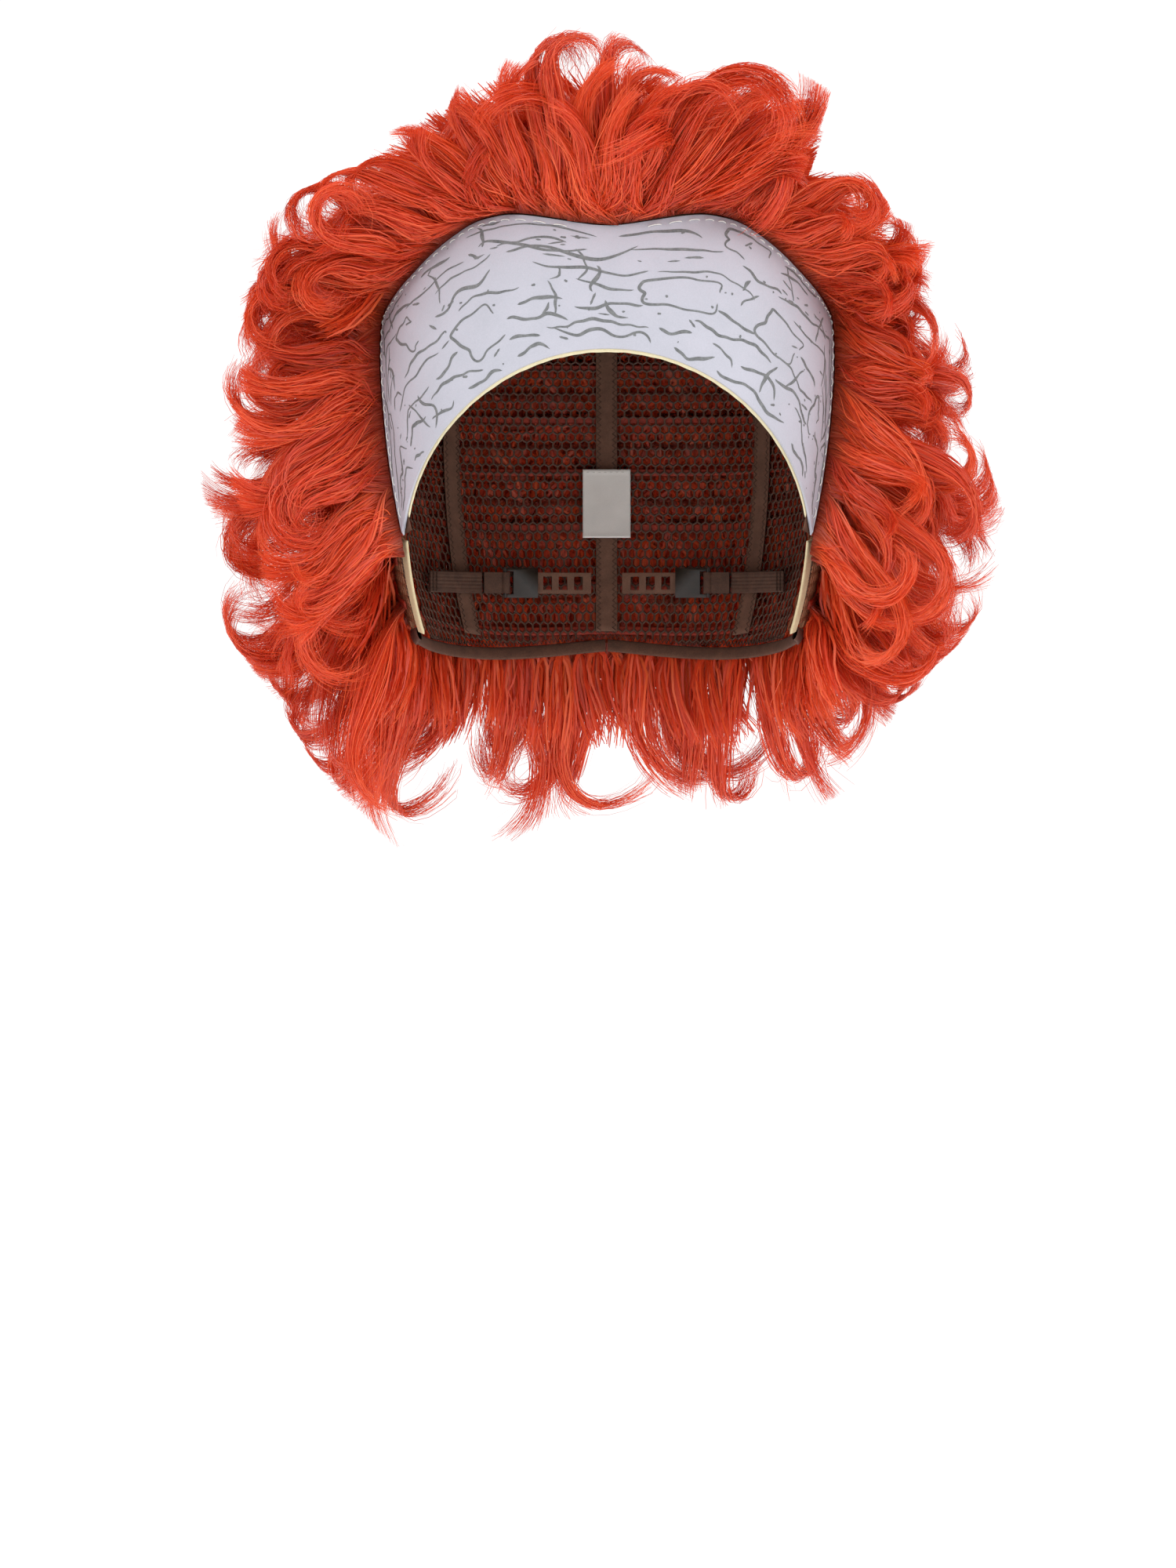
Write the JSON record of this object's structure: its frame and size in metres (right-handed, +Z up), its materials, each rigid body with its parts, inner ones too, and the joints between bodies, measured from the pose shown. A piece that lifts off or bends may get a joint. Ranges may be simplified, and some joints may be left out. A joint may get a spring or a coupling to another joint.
{
  "type": "curly costume wig",
  "caption": "Short curly red costume wig on a net cap with a white crackle-printed forehead panel, ear lace and nape adjusters.",
  "frame": {"origin": "middle of the wearer's head at its widest level, where the cap seats on the head", "axes": "+Z up, the face opening looks along -Y, +X to the right seen from the front"},
  "size_m": [0.2958, 0.2555, 0.2936],
  "materials": {
    "red_hair": "satin",
    "printed_foam": "matte",
    "panel_lining": "matte",
    "white_thread": "satin",
    "cap_band": "matte",
    "cap_net": "matte",
    "ear_lace": "matte",
    "tab_tape": "matte",
    "edge_binding": "matte",
    "cap_tape": "matte",
    "weft_track": "satin",
    "strap_elastic": "matte",
    "hook_plastic": "gloss",
    "label_satin": "satin"
  },
  "bodies": {
    "cap": {"forehead_panel": "printed_foam", "panel_backing": "panel_lining", "panel_stitches": "white_thread", "front_band": "cap_band", "front_weft": "weft_track", "crown_net": "cap_net", "side_net_left": "cap_net", "side_net_right": "cap_net", "back_net": "cap_net", "ear_lace_left": "ear_lace", "ear_lace_right": "ear_lace", "ear_tab_left": "tab_tape", "ear_tab_right": "tab_tape", "edge_binding_left": "edge_binding", "edge_binding_right": "edge_binding", "tape_centre": "cap_tape", "tape_back_left": "cap_tape", "tape_back_right": "cap_tape", "tape_side_left": "cap_tape", "tape_side_right": "cap_tape", "crown_weft_outer": "weft_track", "crown_weft_inner": "weft_track", "weft_row_1": "weft_track", "weft_row_2": "weft_track", "weft_row_3": "weft_track", "weft_row_4": "weft_track", "weft_row_5": "weft_track", "weft_row_6": "weft_track", "weft_row_7": "weft_track", "weft_row_8": "weft_track", "hair_quiff": "red_hair", "hair_crown_top": "red_hair", "hair_temple_left": "red_hair", "hair_temple_right": "red_hair", "hair_crown_back_left": "red_hair", "hair_crown_back_right": "red_hair", "hair_side_upper_left": "red_hair", "hair_side_upper_right": "red_hair", "hair_side_middle_left": "red_hair", "hair_side_middle_right": "red_hair", "hair_side_lower_left": "red_hair", "hair_side_lower_right": "red_hair", "hair_nape_side_left": "red_hair", "hair_nape_side_right": "red_hair", "hair_back_upper_left": "red_hair", "hair_back_upper_right": "red_hair", "hair_back_lower_left": "red_hair", "hair_back_lower_right": "red_hair", "hair_nape_back_left": "red_hair", "hair_nape_back_right": "red_hair", "loop_tape_left": "cap_tape", "loop_tape_right": "cap_tape", "adjuster_strap_left": "strap_elastic", "adjuster_strap_right": "strap_elastic", "care_label": "label_satin"},
    "strap_end_left": {"strap_end_left": "strap_elastic"},
    "strap_end_right": {"strap_end_right": "strap_elastic"},
    "hook_left": {"adjuster_hook_left": "hook_plastic"},
    "hook_right": {"adjuster_hook_right": "hook_plastic"}
  },
  "joints": [
    {"name": "adjuster_slide_left", "type": "slide", "parent": "cap", "child": "strap_end_left", "axis": [0.9659, 0.2588, 0], "range_m": [0, 0.018], "stiffness_N_per_m": 10, "deforming": ["adjuster_strap_left"]},
    {"name": "hook_hinge_left", "type": "hinge", "parent": "strap_end_left", "child": "hook_left", "pos_m": [-0.038, 0.0784, -0.067], "axis": [0, 0, -1], "range_deg": [-6, 60]},
    {"name": "adjuster_slide_right", "type": "slide", "parent": "cap", "child": "strap_end_right", "axis": [-0.9659, 0.2588, 0], "range_m": [0, 0.018], "stiffness_N_per_m": 10, "deforming": ["adjuster_strap_right"]},
    {"name": "hook_hinge_right", "type": "hinge", "parent": "strap_end_right", "child": "hook_right", "pos_m": [0.038, 0.0784, -0.067], "axis": [0, 0, 1], "range_deg": [-6, 60]}
  ]
}
